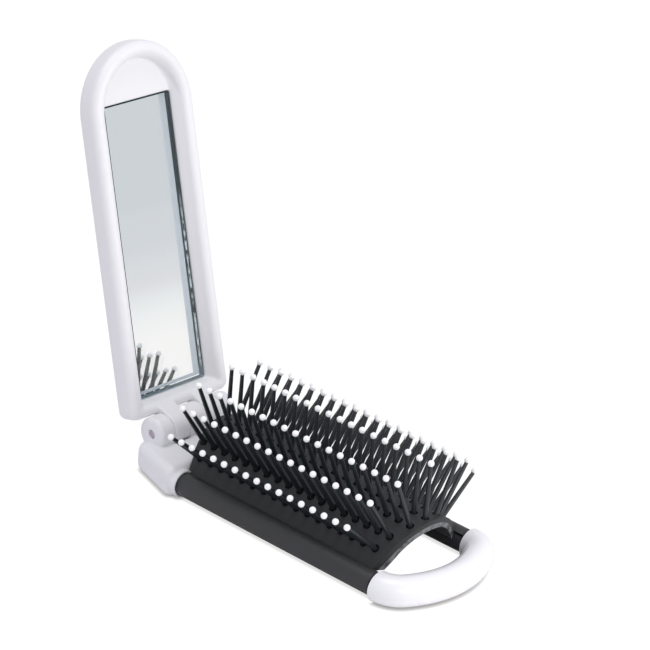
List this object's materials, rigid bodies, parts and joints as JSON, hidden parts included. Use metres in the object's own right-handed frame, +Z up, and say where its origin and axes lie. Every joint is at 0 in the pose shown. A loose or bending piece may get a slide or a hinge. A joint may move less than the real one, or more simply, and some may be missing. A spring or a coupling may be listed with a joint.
{
  "type": "folding hairbrush",
  "caption": "Pocket hairbrush with an arched bristle pad between two rails, a loop at one end and a hinged cover at the other that holds a mirror and folds down over the bristles.",
  "frame": {"origin": "On the ground under the middle of the hinge, on the hinge block's resting face.", "axes": "+X across the brush towards the right rail, -Y from the hinge along the rails to the end loop, +Z up, the way the middle bristles point."},
  "size_m": [0.0488, 0.1296, 0.1063],
  "materials": {
    "white_gloss": "moulded gloss",
    "white_satin": "moulded satin gloss",
    "charcoal": "satin",
    "pad_black": "satin",
    "bristle_black": "semi-gloss",
    "tip_white": "dipped gloss",
    "pin_plastic": "moulded gloss",
    "tape": "adhesive foam, matte",
    "silvering": "silvered, painted back",
    "mirror_glass": "polished, ground edges"
  },
  "bodies": {
    "brush_frame": {"end_loop": "white_gloss", "rail_left": "charcoal", "rail_right": "charcoal", "hinge_block": "white_satin", "deck_sheet": "pad_black", "pin_carrier": "pad_black", "bristle_row_1": "bristle_black", "bristle_row_2": "bristle_black", "bristle_row_3": "bristle_black", "bristle_row_4": "bristle_black", "bristle_row_5": "bristle_black", "bristle_row_6": "bristle_black", "bristle_row_7": "bristle_black", "ball_tips_1": "tip_white", "ball_tips_2": "tip_white", "ball_tips_3": "tip_white", "ball_tips_4": "tip_white", "ball_tips_5": "tip_white", "ball_tips_6": "tip_white", "ball_tips_7": "tip_white"},
    "hinge_pin": {"hinge_pin": "pin_plastic"},
    "mirror_cover": {"cover_shell": "white_satin", "mirror_tape": "tape", "mirror_silvering": "silvering", "mirror_glass": "mirror_glass"}
  },
  "joints": [
    {"name": "cover_fold", "type": "hinge", "parent": "brush_frame", "child": "hinge_pin", "pos_m": [0, 0, 0.0105], "axis": [-1, 0, 0], "range_deg": [-105, 0], "deforming": ["deck_sheet", "pin_carrier", "bristle_row_1", "bristle_row_2", "bristle_row_3", "bristle_row_4", "bristle_row_5", "bristle_row_6", "bristle_row_7", "ball_tips_1", "ball_tips_2", "ball_tips_3", "ball_tips_4", "ball_tips_5", "ball_tips_6", "ball_tips_7"]},
    {"name": "cover_lay_back", "type": "hinge", "parent": "hinge_pin", "child": "mirror_cover", "pos_m": [0, 0, 0.0105], "axis": [-1, 0, 0], "range_deg": [0, 75]}
  ]
}
